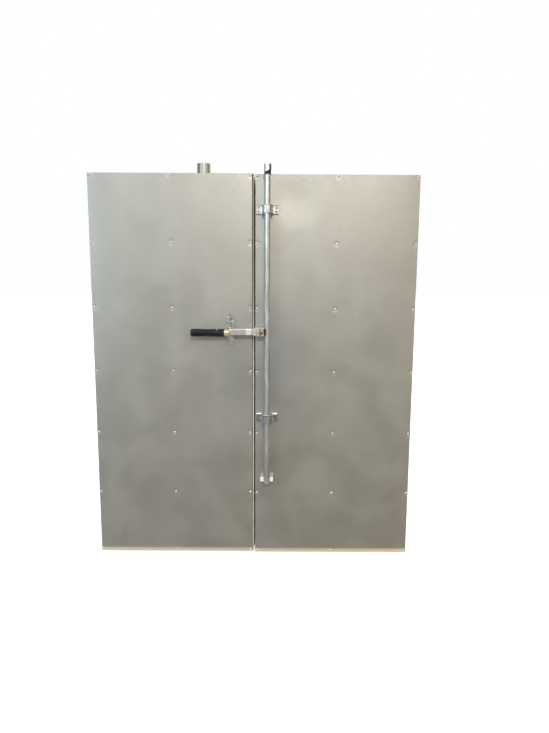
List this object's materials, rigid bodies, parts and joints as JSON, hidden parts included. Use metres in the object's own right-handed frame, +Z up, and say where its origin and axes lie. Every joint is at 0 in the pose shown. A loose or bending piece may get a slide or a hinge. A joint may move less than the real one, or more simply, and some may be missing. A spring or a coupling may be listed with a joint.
{
  "type": "batch powder coating oven",
  "caption": "Insulated steel batch oven with two overlay doors, a full-height turning lock pipe with a lift-and-swing handle, and an exhaust stub on the roof.",
  "frame": {"origin": "on the floor, at the centre of the insulated body's footprint", "axes": "+X to the right as one faces the doors, +Y from the doors to the rear, +Z up"},
  "size_m": [1.57, 1.5971, 2.026],
  "materials": {
    "panel_steel": "satin, lightly brushed stainless sheet with faint dents",
    "galvanised_sheet": "dull zinc-coated sheet",
    "liner_sheet": "dull heat-stained sheet",
    "mineral_wool": "matt pressed mineral wool",
    "seal": "woven glass-fibre bead",
    "lock_steel": "zinc-plated steel, satin",
    "dark_steel": "black, satin",
    "bush_plastic": "black bearing plastic",
    "grip_plastic": "black moulded plastic",
    "exhaust_steel": "bright stainless tube",
    "strip_foil": "crinkled aluminium strip"
  },
  "bodies": {
    "oven_body": {"floor_panel": "mineral_wool", "left_wall": "mineral_wool", "right_wall": "mineral_wool", "rear_wall": "mineral_wool", "roof_panel": "mineral_wool", "left_sheet": "panel_steel", "right_sheet": "panel_steel", "rear_sheet": "panel_steel", "roof_sheet": "panel_steel", "left_liner": "liner_sheet", "right_liner": "liner_sheet", "rear_liner": "liner_sheet", "floor_liner": "liner_sheet", "ceiling_liner": "liner_sheet", "front_frame": "galvanised_sheet", "door_seal": "seal", "left_body_hinges": "lock_steel", "right_body_hinges": "lock_steel", "hinge_pins": "lock_steel", "keeper": "dark_steel", "exhaust_stub": "exhaust_steel", "exhaust_flange": "galvanised_sheet"},
    "left_door": {"left_door_skin": "panel_steel", "left_door_core": "mineral_wool", "left_door_liner": "liner_sheet", "meeting_strip": "strip_foil", "left_door_hinges": "lock_steel", "handle_catch": "lock_steel", "catch_latch": "lock_steel"},
    "right_door": {"right_door_skin": "panel_steel", "right_door_core": "mineral_wool", "right_door_liner": "liner_sheet", "right_door_hinges": "lock_steel", "upper_bearing": "lock_steel", "lower_bearing": "lock_steel", "bearing_bushes": "bush_plastic", "rod_foot": "lock_steel"},
    "lock_pipe": {"lock_rod": "lock_steel", "rod_cam": "lock_steel", "cam_collar": "dark_steel", "handle_hub": "lock_steel", "hub_bolt": "lock_steel"},
    "handle": {"handle_bar": "lock_steel", "handle_collar": "lock_steel", "grip": "grip_plastic"}
  },
  "joints": [
    {"name": "right_door_swing", "type": "hinge", "parent": "oven_body", "child": "right_door", "pos_m": [0.776, -0.716, 0.9255], "axis": [0, 0, 1], "range_deg": [0, 170]},
    {"name": "left_door_swing", "type": "hinge", "parent": "oven_body", "child": "left_door", "pos_m": [-0.776, -0.716, 0.9255], "axis": [0, 0, -1], "range_deg": [0, 170]},
    {"name": "lock_pipe_turn", "type": "hinge", "parent": "right_door", "child": "lock_pipe", "pos_m": [0.0635, -0.861, 1.1245], "axis": [0, 0, 1], "range_deg": [0, 110]},
    {"name": "handle_lift", "type": "hinge", "parent": "lock_pipe", "child": "handle", "pos_m": [0.0335, -0.861, 1.1245], "axis": [0, 1, 0], "range_deg": [0, 20]}
  ],
  "couplings": [
    {"joint": "left_door_swing", "follows": "right_door_swing", "ratio": 1}
  ]
}
